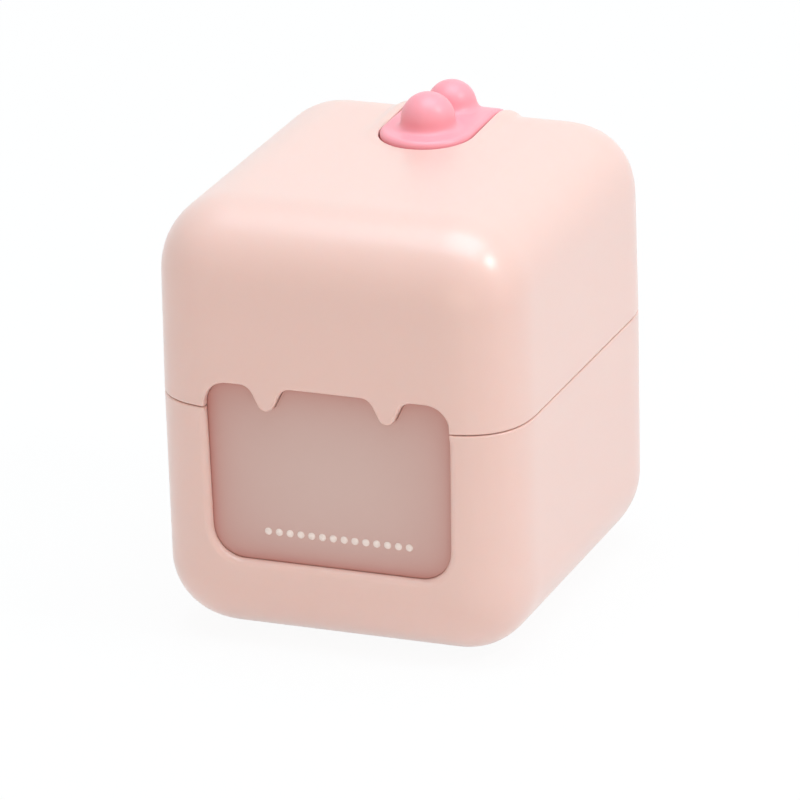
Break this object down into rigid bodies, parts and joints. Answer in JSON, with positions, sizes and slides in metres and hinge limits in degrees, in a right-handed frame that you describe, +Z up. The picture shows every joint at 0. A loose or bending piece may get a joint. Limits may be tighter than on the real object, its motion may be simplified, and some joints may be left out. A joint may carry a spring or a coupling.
{
  "type": "cotton pad holder with drawer",
  "caption": "Soft-cornered vanity cube with a hinged lid freed by a push strip, a tray under the lid and a frosted-front drawer for round cotton pads.",
  "frame": {"origin": "middle of the footprint, on the surface the feet stand on", "axes": "+Z up, -Y out of the drawer's front, +X to the right seen from the front"},
  "size_m": [0.1, 0.1166, 0.1285],
  "materials": {
    "blush_plastic": "satin moulded",
    "frosted_plastic": "frosted, see-through",
    "pink_plastic": "smooth moulded",
    "clear_white_plastic": "smooth moulded",
    "white_plastic": "fine satin",
    "acetal_plastic": "low-friction moulded",
    "steel": "plain",
    "spring_steel": "drawn wire",
    "foot_rubber": "matte"
  },
  "bodies": {
    "base": {"base_shell": "blush_plastic", "drawer_bay": "white_plastic", "bay_screws": "steel", "swab_tray": "white_plastic", "tray_screws": "steel", "hinge_pin": "steel", "foot_front_left": "foot_rubber", "foot_front_right": "foot_rubber", "foot_rear_left": "foot_rubber", "foot_rear_right": "foot_rubber"},
    "drawer": {"drawer_bin": "clear_white_plastic", "drawer_front": "frosted_plastic"},
    "lid": {"lid_shell": "blush_plastic", "latch_cover": "white_plastic", "cover_screws": "steel"},
    "latch": {"latch_slider": "acetal_plastic"},
    "button": {"button_cap": "pink_plastic", "button_plunger": "acetal_plastic", "plunger_screws": "steel", "button_springs": "spring_steel"}
  },
  "joints": [
    {"name": "lid_hinge", "type": "hinge", "parent": "base", "child": "lid", "pos_m": [0, 0.0553, 0.0653], "axis": [-1, 0, 0], "range_deg": [0, 100]},
    {"name": "button_press", "type": "slide", "parent": "lid", "child": "button", "axis": [0, 0, -1], "range_m": [0, 0.002], "stiffness_N_per_m": 400, "springref_m": -0.003, "deforming": ["button_springs"]},
    {"name": "latch_slide", "type": "slide", "parent": "lid", "child": "latch", "axis": [0, 1, 0], "range_m": [0, 0.002]},
    {"name": "drawer_slide", "type": "slide", "parent": "base", "child": "drawer", "axis": [0, -1, 0], "range_m": [0, 0.07]}
  ],
  "couplings": [
    {"joint": "latch_slide", "follows": "button_press", "ratio": 1}
  ]
}
